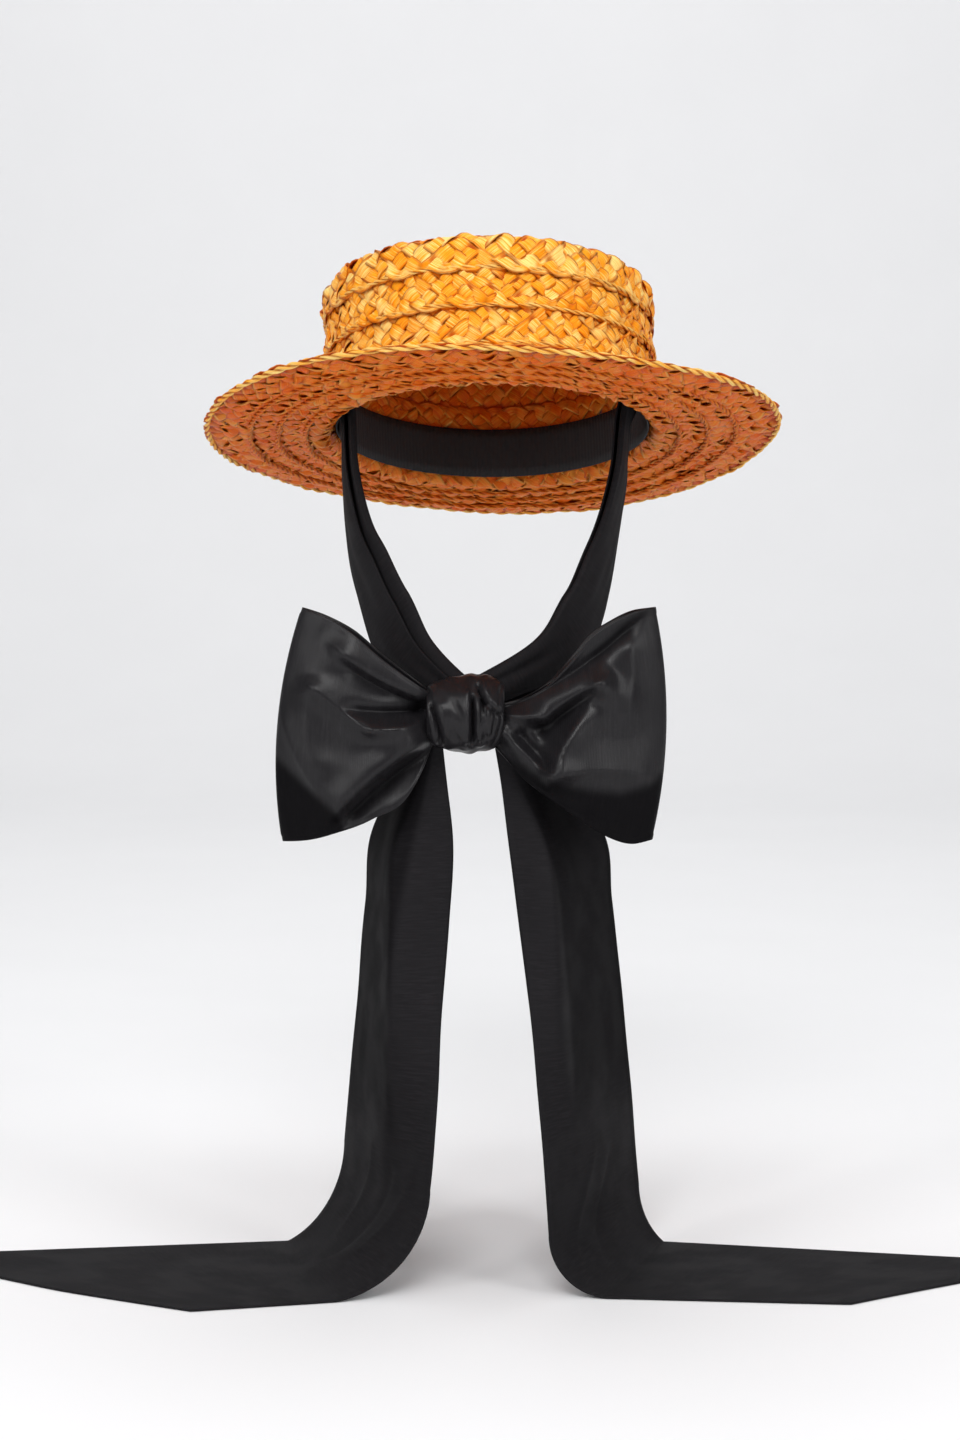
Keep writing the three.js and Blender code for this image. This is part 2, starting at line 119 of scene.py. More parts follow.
def add_piece(name, points, faces, uv, marks=None):
    """A mesh object at the origin from points in millimetres, faces, flat places and marks on its points."""
    mesh = bpy.data.meshes.new(name)
    mesh.vertices.add(len(points))
    mesh.vertices.foreach_set("co", np.ascontiguousarray(points * MM, np.float32).ravel())
    mesh.loops.add(faces.size)
    mesh.loops.foreach_set("vertex_index", faces.astype(np.int32).ravel())
    mesh.polygons.add(len(faces))
    mesh.polygons.foreach_set("loop_start", np.arange(0, faces.size, 4, dtype=np.int32))
    mesh.polygons.foreach_set("use_smooth", np.ones(len(faces), bool))
    flat_places = mesh.uv_layers.new(name="flat")
    flat_places.data.foreach_set("uv", uv.astype(np.float32).ravel())
    for mark, values in (marks or {}).items():
        layer = mesh.attributes.new(mark, "FLOAT", "POINT")
        layer.data.foreach_set("value", values.astype(np.float32).ravel())
    mesh.update(calc_edges=True)
    piece = bpy.data.objects.new(name, mesh)
    bpy.context.scene.collection.objects.link(piece)
    print(f"{name}: {len(points)} points, {len(faces)} faces")
    return piece


# %% [markdown]
# ## Camera and studio
#
# The camera stands a metre and a half in front of the hat, a little above the brim, and looks slightly down.
# A photographer would hang a roll of pale paper behind the hat and let it run out under it in one sweep, so
# that no corner shows. That sweep is one curved sheet here, lit by wide soft lamps.

# %% Camera
FLOOR = -435.0
CAMERA_PLACE = Vector((-0.0065, -1.549, -0.017))
CAMERA_PITCH = math.radians(4.863)
FOCAL_SHARE = 2951.3 / 1440
SENSOR_WIDTH = 36.0

camera_data = bpy.data.cameras.new("camera")
camera_data.sensor_width = SENSOR_WIDTH
camera_data.lens = FOCAL_SHARE * SENSOR_WIDTH
camera = bpy.data.objects.new("camera", camera_data)
camera.location = CAMERA_PLACE
camera.rotation_euler = (math.pi / 2 - CAMERA_PITCH, 0, 0)
bpy.context.scene.collection.objects.link(camera)
bpy.context.scene.camera = camera
bpy.context.scene.view_settings.view_transform = "Standard"
print("lens", round(camera_data.lens, 2), "mm")

# %% Paper sweep
SWEEP_WIDTH = 9000.0
SWEEP_FRONT = -4500.0
SWEEP_BACK = 3400.0
SWEEP_BEND = 1300.0
SWEEP_TOP = 3200.0
SWEEP_STEPS = 24


def paper_sweep():
    """A flat floor, a quarter circle and an upright wall, all drawn out to the full width."""
    angle = np.linspace(0, math.pi / 2, SWEEP_STEPS)
    bend_y = SWEEP_BACK - SWEEP_BEND + SWEEP_BEND * np.sin(angle)
    bend_z = FLOOR + SWEEP_BEND * (1 - np.cos(angle))
    line_y = np.concatenate([[SWEEP_FRONT], bend_y, [SWEEP_BACK]])
    line_z = np.concatenate([[FLOOR], bend_z, [SWEEP_TOP]])
    sides = np.array([-SWEEP_WIDTH / 2, SWEEP_WIDTH / 2])
    points = np.empty((len(line_y), 2, 3))
    points[..., 0] = sides
    points[..., 1] = line_y[:, None]
    points[..., 2] = line_z[:, None]
    uv = grid_uv(line_y, sides)
    faces = grid_faces(len(line_y), 2)[:, ::-1]
    return add_piece("paper_sweep", points.reshape(-1, 3), faces, uv[:, ::-1])


sweep = paper_sweep()

# %% Lamps
WORLD_GREY = (0.93, 0.94, 0.96, 1)
WORLD_STRENGTH = 0.2
HAT_AIM = (0, 0, -0.1)
WALL_AIM = (0, 3.4, 0.3)
# columns: name, place, what it faces, width and height, power
LAMPS = [
    ("front_lamp", (-0.2, -2.3, 1.7), HAT_AIM, (1.3, 0.9), 43),
    ("left_lamp", (-1.75, -1.7, 0.75), HAT_AIM, (0.8, 1.6), 21),
    ("right_lamp", (1.75, -1.7, 0.75), HAT_AIM, (0.8, 1.6), 23),
    ("top_lamp", (0.0, 0.2, 2.2), HAT_AIM, (2.4, 1.8), 27),
    ("wall_lamp", (0.0, 1.4, 2.3), WALL_AIM, (4.0, 0.6), 31),
]


def add_lamp(name, place, aim, size, power):
    """A wide soft lamp that faces the hat or the wall."""
    data = bpy.data.lights.new(name, "AREA")
    data.shape = "RECTANGLE"
    data.size, data.size_y = size
    data.energy = power
    lamp = bpy.data.objects.new(name, data)
    lamp.location = place
    lamp.rotation_euler = (Vector(aim) - Vector(place)).to_track_quat("-Z", "Y").to_euler()
    bpy.context.scene.collection.objects.link(lamp)
    return lamp


for lamp_row in LAMPS:
    add_lamp(*lamp_row)
world = bpy.data.worlds.new("studio")
world.use_nodes = True
world.node_tree.nodes["Background"].inputs["Color"].default_value = WORLD_GREY
world.node_tree.nodes["Background"].inputs["Strength"].default_value = WORLD_STRENGTH
bpy.context.scene.world = world
print("lamps:", len(LAMPS))


# %% [markdown]
# ## Materials from nodes
#
# Every finish is a node graph on the standard surface shader. A short helper adds a node, sets its inputs and
# joins its links, so that a recipe reads from top to bottom like a list of steps.

# %% A helper for node graphs
class Recipe:
    """A material whose nodes are added one by one; a pair (node, output name) as an input makes a link."""

    def __init__(self, name):
        self.material = bpy.data.materials.new(name)
        self.material.use_nodes = True
        self.tree = self.material.node_tree
        self.shader = self.tree.nodes["Principled BSDF"]

    def feed(self, node, inputs):
        for socket, value in inputs.items():
            if isinstance(value, tuple) and isinstance(value[0], bpy.types.Node):
                self.tree.links.new(value[0].outputs[value[1]], node.inputs[socket])
            else:
                node.inputs[socket].default_value = value

    def add(self, kind, settings=None, **inputs):
        node = self.tree.nodes.new(kind)
        for setting, value in (settings or {}).items():
            setattr(node, setting, value)
        self.feed(node, {socket.replace("_", " "): value for socket, value in inputs.items()})
        return node

    def mix(self, share, low, high, way="MIX"):
        node = self.tree.nodes.new("ShaderNodeMix")
        node.data_type = "RGBA"
        node.blend_type = way
        self.feed(node, {"Factor": share})
        colour_inputs = [socket for socket in node.inputs if socket.type == "RGBA"]
        for socket, value in zip(colour_inputs, (low, high)):
            if isinstance(value[0], bpy.types.Node):
                self.tree.links.new(value[0].outputs[value[1]], socket)
            else:
                socket.default_value = value
        return (node, next(socket.name for socket in node.outputs if socket.type == "RGBA"))

    def maths(self, way, first, second=0.0):
        node = self.tree.nodes.new("ShaderNodeMath")
        node.operation = way
        for socket, value in zip(node.inputs, (first, second)):
            if isinstance(value, tuple):
                self.tree.links.new(value[0].outputs[value[1]], socket)
            else:
                socket.default_value = value
        return (node, "Value")

    def spread(self, value, low, high, to_low=0.0, to_high=1.0):
        node = self.add("ShaderNodeMapRange", {"clamp": True, "interpolation_type": "SMOOTHSTEP"})
        self.feed(node, {"Value": value, "From Min": low, "From Max": high})
        self.feed(node, {"To Min": to_low, "To Max": to_high})
        return (node, "Result")

    def flat_places(self, along, across):
        places = self.add("ShaderNodeUVMap", {"uv_map": "flat"})
        scaled = self.add("ShaderNodeMapping", Vector=(places, "UV"), Scale=(along, across, 1))
        return (scaled, "Vector")

    def finish(self, **inputs):
        self.feed(self.shader, {socket.replace("_", " "): value for socket, value in inputs.items()})
        return self.material


# %% Paper of the sweep
def paper_finish():
    """Matt white paper with the faintest mottle."""
    recipe = Recipe("paper")
    places = recipe.add("ShaderNodeTexCoord")
    mottle = recipe.add("ShaderNodeTexNoise", Vector=(places, "Object"), Scale=6.0, Detail=3.0)
    colour = recipe.mix((mottle, "Fac"), (0.86, 0.86, 0.87, 1), (0.89, 0.89, 0.9, 1))
    return recipe.finish(Base_Color=colour, Roughness=0.85)


sweep.data.materials.append(paper_finish())
print("materials:", ", ".join(material.name for material in bpy.data.materials))

# %% [markdown]
# ## The shape of the hat
#
# A boater is sewn from one long plait laid in rings. Every ring lies on the middle of the straw wall, so one
# formula for that wall places all of them. The wall starts at the rim, runs in over the flat brim, turns up in
# a small fillet, climbs the straight side, turns in over the shoulder and ends at the middle of the tip.

# %% The oval and the wall's middle line
HEAD_HALF_WIDTH = 83.0
HEAD_HALF_LENGTH = 99.0
HAT_TILT = math.radians(-14.5)
WALL_MIDDLE = 1.5
BRIM_OUTSET = 66.0
BRIM_FLAT_FROM = 8.0
FILLET = 5.0
SHOULDER = 6.0
TIP_HEIGHT = 76.5
CROWN_FOOT = 8.3
CROWN_LEAN = -3.0
BRIM_WAVES = [(1, 0.8, 90), (2, 1.6, 0), (3, 1.8, 0)]

BRIM_RUN = BRIM_OUTSET - WALL_MIDDLE - FILLET
FILLET_END = BRIM_RUN + FILLET * math.pi / 2
SIDE_RUN = TIP_HEIGHT - FILLET - SHOULDER
SIDE_END = FILLET_END + SIDE_RUN
SHOULDER_END = SIDE_END + SHOULDER * math.pi / 2
WALL_LENGTH = SHOULDER_END + HEAD_HALF_WIDTH + WALL_MIDDLE - SHOULDER


def wall_line(place):
    """Radius, height and facing of the wall at a distance from the rim: straight runs and quarter circles."""
    turn_up = np.clip((place - BRIM_RUN) / FILLET, 0, math.pi / 2)
    turn_in = np.clip((place - SIDE_END) / SHOULDER, 0, math.pi / 2)
    inward = np.minimum(place, BRIM_RUN) + FILLET * np.sin(turn_up)
    inward = inward + SHOULDER * (1 - np.cos(turn_in)) + np.maximum(place - SHOULDER_END, 0)
    climb = FILLET * (1 - np.cos(turn_up)) + np.clip(place - FILLET_END, 0, SIDE_RUN)
    height = climb + SHOULDER * np.sin(turn_in)
    radius = HEAD_HALF_WIDTH + BRIM_OUTSET - inward
    return radius, height, np.sin(turn_up) * np.cos(turn_in), np.cos(turn_up) + np.sin(turn_in)


def tip_back(vectors):
    """The whole hat turned about the X axis, front edge up."""
    x, y, z = np.moveaxis(vectors, -1, 0)
    turned_y = y * math.cos(HAT_TILT) - z * math.sin(HAT_TILT)
    turned_z = y * math.sin(HAT_TILT) + z * math.cos(HAT_TILT)
    return np.stack([x, turned_y, turned_z], axis=-1)


def on_hat(place, angle, lift):
    """A point at a distance from the rim and an angle round the oval, lifted off the wall, and its normal."""
    radius, height, facing_out, facing_up = wall_line(place)
    inside = radius < HEAD_HALF_WIDTH
    longer = np.where(inside, radius * HEAD_HALF_LENGTH / HEAD_HALF_WIDTH, radius + HEAD_HALF_LENGTH - HEAD_HALF_WIDTH)
    cosine = np.cos(angle)
    sine = np.sin(angle)
    across = unit(np.stack([longer * cosine, radius * sine, np.zeros_like(radius)], axis=-1) + 1e-9)
    normal = facing_out[..., None] * across + facing_up[..., None] * np.array([0.0, 0.0, 1.0])
    fade = ease(radius - HEAD_HALF_WIDTH, BRIM_FLAT_FROM, BRIM_OUTSET)
    wave = sum(rise * np.cos(cycles * angle - math.radians(start)) for cycles, rise, start in BRIM_WAVES)
    lean = CROWN_LEAN * np.maximum(height - CROWN_FOOT, 0) / (TIP_HEIGHT - CROWN_FOOT)
    point = np.stack([radius * cosine + lean, longer * sine, height + fade * wave], axis=-1)
    return tip_back(point + normal * np.asarray(lift)[..., None]), tip_back(normal)


print("wall from rim to tip:", round(WALL_LENGTH), "mm")

# %% [markdown]
# ## Plaited straw
#
# The plait has six strands. Each strand swings from one edge of the plait to the other in a zigzag, six zigzags
# stand evenly spaced, and strands that go up cross over and under strands that go down. A texture could paint
# that, but its shadows and bumpy outline would be missing, so every strand is a real flat ribbon. Along the
# plait a strand's height is a cosine, and the sign changes with its direction: that alone weaves all six.
#
# Rows lap like roof tiles: the edge nearest the rim stands proud and covers the next row's hidden edge.

# %% Sizes of the plait
STRANDS = 6
PLAIT_ANGLE = math.radians(36)
WAVE_STEPS = 8
TURN_SOFTNESS = 0.93
EDGE_INSET = 1.5
CROWN_LAP_RISE = 1.35
BRIM_LAP_RISE = 1.55
WEAVE_RISE = 0.72
STRAND_COVER = 1.25
STRAND_THICKNESS = 0.55
TURN_PINCH = 0.28
SWAY = 0.55
SWAY_ROLL = 0.36
BULGE_RISE = 0.26
BULGE_ROLL = 0.28
STRAND_UNEVEN = 0.15
EDGE_PAINTED_UNDERSIDE_SHADE = 0.6
LAP_PAINTED_SHADE = 0.7
SECTION_ACROSS = np.array([-1.0, -0.55, 0.08, 0.6, 1.0, 0.55, -0.08, -0.6])
SECTION_RISE = np.array([0.0, 0.9, 0.62, 0.95, 0.0, -0.9, -0.62, -0.95])
STRAW_SEED = 20


def wobble(chance, rows, count, knots):
    """Smooth random values from -1 to 1 that close on themselves: random knots joined by soft steps."""
    values = chance.uniform(-1, 1, (rows, knots))
    place = np.arange(count) * knots / count
    left = np.floor(place).astype(int)
    share = ease(place - left, 0, 1)
    return blend(values[:, left % knots], values[:, (left + 1) % knots], share)


# %% One ring of plait
def plait_ring(start, width, lap, chance):
    """Six woven ribbons round the oval between two distances from the rim, with their random tones."""
    middle = start + width / 2
    angles = np.linspace(0, 2 * math.pi, 721)
    centre_line, _ = on_hat(np.full(len(angles), middle), angles, np.zeros(len(angles)))
    run = np.concatenate([[0], np.cumsum(np.linalg.norm(np.diff(centre_line, axis=0), axis=1))])
    swings = max(2, round(run[-1] * math.tan(PLAIT_ANGLE) / (2 * width)))
    count = swings * STRANDS * WAVE_STEPS
    along = np.arange(count) / count
    angle = np.interp(along * run[-1], run, angles) + chance.uniform(0, 2 * math.pi)
    phase = 2 * math.pi * (along[None, :] * swings - np.arange(STRANDS)[:, None] / STRANDS) - math.pi / 2
    soft = TURN_SOFTNESS * np.sin(phase)
    swing = np.arcsin(soft) / math.asin(TURN_SOFTNESS)
    slope = np.cos(phase) / np.sqrt(1 - soft**2)
    weave = slope * np.cos(2 * math.pi * along * swings * STRANDS)[None, :]
    crossings = swings * STRANDS
    sway = wobble(chance, STRANDS, count, crossings)
    bulge = wobble(chance, STRANDS, count, 2 * crossings)
    spread = wobble(chance, STRANDS, count, crossings)
    across = swing * (width / 2 - EDGE_INSET) + SWAY * sway
    lift = -lap * across / (width / 2) + WEAVE_RISE * weave + BULGE_RISE * bulge
    centre, normal = on_hat(middle + across, np.broadcast_to(angle, across.shape), lift)
    ahead = unit(np.roll(centre, -1, axis=1) - np.roll(centre, 1, axis=1))
    side = unit(np.cross(normal, ahead))
    up = np.cross(ahead, side)
    roll = SWAY_ROLL * sway + BULGE_ROLL * bulge
    rolled_side = side * np.cos(roll)[..., None] + up * np.sin(roll)[..., None]
    rolled_up = up * np.cos(roll)[..., None] - side * np.sin(roll)[..., None]
    pitch = 2 * width * math.cos(PLAIT_ANGLE) / STRANDS
    half = STRAND_COVER * pitch / 2 * (1 + STRAND_UNEVEN * spread)
    half = half * (1 - TURN_PINCH * (1 - np.minimum(np.abs(slope), 1)))
    thick = STRAND_THICKNESS * (1 + 0.3 * bulge)
    points = centre[:, :, None, :]
    points = points + (half[..., None] * SECTION_ACROSS)[..., None] * rolled_side[:, :, None, :]
    points = points + (thick[..., None] * SECTION_RISE)[..., None] * rolled_up[:, :, None, :]
    strand_tone = chance.uniform(-1, 1, (STRANDS, 1))
    tone = 0.5 + 0.15 * strand_tone + 0.16 * spread + 0.14 * wobble(chance, STRANDS, count, 3 * crossings)
    tone = np.broadcast_to(tone[..., None], points.shape[:3])
    face = np.sign(SECTION_RISE)
    lapped = ease(face * across[..., None] / (width / 2), 0.25, 0.9)
    # painted shade: a strand is painted darker where it dives under a crossing strand and where its edge tucks below
    # the next row
    painted_sunk_shade = 0.5 - 0.5 * weave[..., None] * face + LAP_PAINTED_SHADE * lapped
    # painted shade: the faces of each strand that look down or into the crown are marked to be painted darker and
    # redder, its edges partly
    under = np.broadcast_to(np.where(SECTION_RISE == 0, EDGE_PAINTED_UNDERSIDE_SHADE, SECTION_RISE < 0), points.shape[:3])
    return points, {"tone": tone, "painted_sunk_shade": painted_sunk_shade, "under": under}, run[-1] / math.cos(PLAIT_ANGLE)


def tube_piece(name, bundles, chance):
    """A piece of many tubes: each is a grid closed both along its run and round its section."""
    all_points, all_faces, all_uv = [], [], []
    all_marks = {mark: [] for mark in bundles[0][1]}
    first = 0
    for points, marks, length in bundles:
        tubes, count, corners, _ = points.shape
        faces = grid_faces(count, corners, close_rows=True, close_columns=True)
        shift = first + np.arange(tubes)[:, None, None] * count * corners
        uv = grid_uv(np.linspace(0, length * MM * 100, count + 1), np.linspace(0, 1, corners + 1))
        offset = np.stack([chance.uniform(0, 90, tubes), np.zeros(tubes)], axis=-1)
        all_uv.append((uv[None] + offset[:, None, None, :]).reshape(-1, 4, 2))
        all_faces.append((faces[None] + shift).reshape(-1, 4))
        all_points.append(points.reshape(-1, 3))
        for mark, values in marks.items():
            all_marks[mark].append(values.reshape(-1))
        first += tubes * count * corners
    marks = {mark: np.concatenate(values) for mark, values in all_marks.items()}
    return add_piece(
        name, np.concatenate(all_points), np.concatenate(all_faces), np.concatenate(all_uv), marks
    )


def plait_piece(name, rings, chance):
    """A piece of several rings of plait, six woven ribbons in each."""
    return tube_piece(name, [plait_ring(*ring, chance) for ring in rings], chance)


# %% Twisted edges
CORD_PLIES = 2
CORD_TURN_STEPS = 8
CORD_SIDES = 6
CORD_WANDER = 0.45


def twisted_cord(place, lift, radius, turn_length, under, chance):
    """Plies that wind round a line on the hat: each ply's centre circles the line once a turn."""
    angles = np.linspace(0, 2 * math.pi, 721)
    line, _ = on_hat(np.full(len(angles), place), angles, np.full(len(angles), lift))
    run = np.concatenate([[0], np.cumsum(np.linalg.norm(np.diff(line, axis=0), axis=1))])
    turns = round(run[-1] / turn_length)
    count = turns * CORD_TURN_STEPS
    along = np.arange(count) / count
    angle = np.interp(along * run[-1], run, angles)
    wander = CORD_WANDER * wobble(chance, 1, count, turns)[0]
    centre, normal = on_hat(np.full(count, place) + wander, angle, np.full(count, lift) + wander)
    ahead = unit(np.roll(centre, -1, axis=0) - np.roll(centre, 1, axis=0))
    side = unit(np.cross(normal, ahead))
    up = np.cross(ahead, side)
    wind = 2 * math.pi * (along[None, :] * turns + np.arange(CORD_PLIES)[:, None] / CORD_PLIES)
    ply = side * np.cos(wind)[..., None] + up * np.sin(wind)[..., None]
    ply_centre = centre + ply * radius * 0.5
    ring = np.linspace(0, 2 * math.pi, CORD_SIDES, endpoint=False)
    swell = radius * (0.62 + 0.12 * wobble(chance, CORD_PLIES, count, 3 * turns))
    around = side[:, None, :] * np.cos(ring)[None, :, None] + up[:, None, :] * np.sin(ring)[None, :, None]
    points = ply_centre[:, :, None, :] + swell[..., None, None] * around[None]
    tone = 0.62 + 0.2 * wobble(chance, CORD_PLIES, count, 4 * turns)[..., None] + 0 * ring
    # painted shade: each ply is painted darker on its side that faces into the cord
    outer = np.einsum("pcx,csx->pcs", ply, around)
    return points, {"tone": tone, "painted_sunk_shade": 0.5 - 0.5 * outer, "under": under + 0 * tone}, run[-1]


def cord_piece(name, lines, chance):
    """A piece of several twisted cords, each ply a tube closed on itself."""
    return tube_piece(name, [twisted_cord(*line, chance) for line in lines], chance)


# %% Straw finish
STRAW_DEEP = (0.86, 0.210, 0.002, 1)
STRAW_ORANGE = (1.0, 0.380, 0.006, 1)
STRAW_CREAM_AND_HIGHLIGHT = (1.0, 0.76, 0.26, 1)
STRAW_PAINTED_SHADE = (0.50, 0.22, 0.06, 1)
STRAW_PAINTED_UNDERSIDE_SHADE = (0.74, 0.33, 0.10, 1)


def straw_finish():
    """Dyed leaf: long fibres, tones that change from strand to strand, cream streaks that are partly painted
    highlight, painted shade where a strand dives under, and a painted darker, redder underside.
    """
    recipe = Recipe("dyed_straw")
    tone = recipe.add("ShaderNodeAttribute", {"attribute_name": "tone"})
    painted_sunk_shade = recipe.add("ShaderNodeAttribute", {"attribute_name": "painted_sunk_shade"})
    under = recipe.add("ShaderNodeAttribute", {"attribute_name": "under"})
    fibre_places = recipe.flat_places(0.5, 34.0)
    fibres = recipe.add("ShaderNodeTexNoise", {"noise_dimensions": "2D"}, Vector=fibre_places, Scale=1.0)
    recipe.feed(fibres, {"Detail": 5.0, "Roughness": 0.65, "Distortion": 0.25})
    stain_places = recipe.flat_places(1.1, 3.0)
    stains = recipe.add("ShaderNodeTexNoise", {"noise_dimensions": "2D"}, Vector=stain_places, Scale=1.0)
    recipe.feed(stains, {"Detail": 2.0})
    light = recipe.maths("ADD", recipe.maths("MULTIPLY", (fibres, "Fac"), 2.2), (tone, "Fac"))
    light = recipe.maths("ADD", light, recipe.maths("MULTIPLY", (stains, "Fac"), 0.5))
    body = recipe.mix(recipe.spread(light, 1.25, 1.75), STRAW_DEEP, STRAW_ORANGE)
    # pale cream streaks on the fibres: partly the straw's own pale fibres and partly painted highlight
    body = recipe.mix(recipe.spread(light, 1.68, 2.3, 0.0, 0.95), body, STRAW_CREAM_AND_HIGHLIGHT)
    # painted shade: the sunk mark multiplies the colour darker in the weave's hollows
    hollow_shade = recipe.spread((painted_sunk_shade, "Fac"), 0.3, 1.0, 0.0, 1.0)
    colour = recipe.mix(hollow_shade, body, recipe.mix(1.0, body, STRAW_PAINTED_SHADE, "MULTIPLY"))
    # painted shade: the underside mark multiplies the colour darker and redder
    colour = recipe.mix((under, "Fac"), colour, recipe.mix(1.0, colour, STRAW_PAINTED_UNDERSIDE_SHADE, "MULTIPLY"))
    bump = recipe.add("ShaderNodeBump", Height=(fibres, "Fac"), Strength=0.8, Distance=0.0006)
    roughness = recipe.spread((fibres, "Fac"), 0.3, 0.75, 0.36, 0.56)
    return recipe.finish(Base_Color=colour, Roughness=roughness, Normal=(bump, "Normal"), Specular_IOR_Level=0.14)


straw = straw_finish()

# %% Rings of the crown and the brim
BRIM_PITCH = 14.5
BRIM_LAP = 8.6
BRIM_RINGS = 4
COLLAR_LAP = 7.5
COLLAR_WIDTH = 17.0
SIDE_PITCH = 19.3
SIDE_LAP = 4.2
SIDE_FIRST = 62.4
SIDE_RINGS = 4
TIP_PITCH = 16.0
TIP_LAP = 4.0
TIP_FIRST = 143.5
TIP_RINGS = 5
RIM_PLACE = 0.6
RIM_LIFT = 0.8
RIM_RADIUS = 1.5
RIM_TURN = 19.0
SEAM_INSET = 0.9
SEAM_LIFT = 1.5
SEAM_RADIUS = 1.0
SEAM_TURN = 13.0
CURL_INSET = 1.3
CURL_LIFT = 0.4
CURL_RADIUS = 1.6
CURL_TURN = 4.0
RIDGE_LIFT = -2.2
RIDGE_RADIUS = 1.25
RIDGE_TURN = 12.0

straw_chance = np.random.default_rng(STRAW_SEED)
brim_rings = [(row * BRIM_PITCH, BRIM_PITCH + BRIM_LAP, BRIM_LAP_RISE) for row in range(BRIM_RINGS)]
brim_rings.append((SIDE_FIRST - COLLAR_LAP, COLLAR_WIDTH, BRIM_LAP_RISE))
side_starts = [SIDE_FIRST + row * SIDE_PITCH for row in range(SIDE_RINGS)] + [TIP_FIRST]
side_rings = [
    (start, following - start + SIDE_LAP, CROWN_LAP_RISE)
    for start, following in zip(side_starts, side_starts[1:])
]
tip_rings = [
    (TIP_FIRST + row * TIP_PITCH, TIP_PITCH + TIP_LAP, CROWN_LAP_RISE) for row in range(TIP_RINGS - 1)
]
tip_rings.append((TIP_FIRST + (TIP_RINGS - 1) * TIP_PITCH, TIP_PITCH - TIP_LAP, CROWN_LAP_RISE))

crown_side = plait_piece("straw_crown_side", side_rings, straw_chance)
crown_tip = plait_piece("straw_crown_tip", tip_rings, straw_chance)
brim_outer = plait_piece("straw_brim_outer", brim_rings[:2], straw_chance)
brim_inner = plait_piece("straw_brim_inner", brim_rings[2:], straw_chance)
rim_cord = cord_piece("straw_rim_cord", [(RIM_PLACE, RIM_LIFT, RIM_RADIUS, RIM_TURN, 0)], straw_chance)
seam_lines = [(start + SEAM_INSET, SEAM_LIFT, SEAM_RADIUS, SEAM_TURN, 0) for start in side_starts[1:-1]]
seam_lines.append((WALL_LENGTH - CURL_INSET, CURL_LIFT, CURL_RADIUS, CURL_TURN, 0))
seam_cords = cord_piece("straw_seam_cords", seam_lines, straw_chance)
# the ridge cords under the brim take the full painted underside shade
ridge_lines = [
    (start + width - SEAM_INSET, RIDGE_LIFT, RIDGE_RADIUS, RIDGE_TURN, 1) for start, width, _ in brim_rings[:3]
]
ridge_cords = cord_piece("straw_ridge_cords", ridge_lines, straw_chance)
crown_pieces = [crown_side, crown_tip, seam_cords]
brim_pieces = [brim_outer, brim_inner, rim_cord, ridge_cords]
dressed = [(piece, "crown") for piece in crown_pieces] + [(piece, "brim") for piece in brim_pieces]
for piece, node in dressed:
    piece.data.materials.append(straw)
    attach(piece, "root")
    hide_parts(node)

# %% [markdown]
# ## Taffeta
#
# The sash is black taffeta: a crisp, closely woven silk with a fine rib across it and a soft grey sheen. It is
# one strip 120 mm wide. The weave follows the cloth and not the room, so the finish reads each piece's flat
# places, which are in centimetres along and across the strip.

# %% Taffeta finish
TAFFETA_BLACK = (0.0105, 0.0098, 0.0110, 1)
TAFFETA_WORN = (0.0200, 0.0185, 0.0205, 1)
# the colour that painted shade darkens the taffeta towards
TAFFETA_PAINTED_SHADE = (0.0022, 0.0020, 0.0024, 1)


def taffeta_finish(name, smoothest, roughest, gloss):
    """A dark body with slubs and cloudy wear, fine ribs across the strip, a soft gloss, and painted shade from the
    mark called shade.
    """
    recipe = Recipe(name)
    ribs = recipe.add("ShaderNodeTexWave", {"bands_direction": "X"}, Vector=recipe.flat_places(1, 1), Scale=5.0)
    recipe.feed(ribs, {"Distortion": 1.2, "Detail": 2.0, "Detail Scale": 2.0})
    slub_places = recipe.flat_places(9.0, 0.7)
    slubs = recipe.add("ShaderNodeTexNoise", {"noise_dimensions": "2D"}, Vector=slub_places, Scale=1.0)
    recipe.feed(slubs, {"Detail": 4.0, "Roughness": 0.7})
    cloud_places = recipe.flat_places(0.35, 0.35)
    clouds = recipe.add("ShaderNodeTexNoise", {"noise_dimensions": "2D"}, Vector=cloud_places, Scale=1.0)
    recipe.feed(clouds, {"Detail": 3.0})
    worn = recipe.maths("MULTIPLY", recipe.spread((slubs, "Fac"), 0.35, 0.8), (clouds, "Fac"))
    colour = recipe.mix(worn, TAFFETA_BLACK, TAFFETA_WORN)
    height = recipe.maths("ADD", recipe.maths("MULTIPLY", (ribs, "Fac"), 0.5), (slubs, "Fac"))
    bump = recipe.add("ShaderNodeBump", Height=height, Strength=0.22, Distance=0.0002)
    roughness = recipe.spread((clouds, "Fac"), 0.3, 0.7, smoothest, roughest)
    # painted shade: the shade mark darkens the colour and dims the gloss in fold bottoms, the loops' lower corners and
    # the tails' outer faces
    shade = recipe.add("ShaderNodeAttribute", {"attribute_name": "shade"})
    colour = recipe.mix(recipe.spread((shade, "Fac"), 0.0, 1.0, 0.0, 0.8), colour, TAFFETA_PAINTED_SHADE)
    recipe.finish(Specular_IOR_Level=recipe.spread((shade, "Fac"), 0.0, 1.0, gloss, 0.1 * gloss))
    return recipe.finish(Base_Color=colour, Roughness=roughness, Normal=(bump, "Normal"))


bow_taffeta = taffeta_finish("taffeta_tied", 0.3, 0.4, 0.19)
tail_taffeta = taffeta_finish("taffeta_hung", 0.68, 0.8, 0.08)

# %% Cloth helpers
SASH_WIDTH = 120.0
SASH_WALL = 0.8
HEM_WIDTH = 3.0
HEM_RISE = 0.35


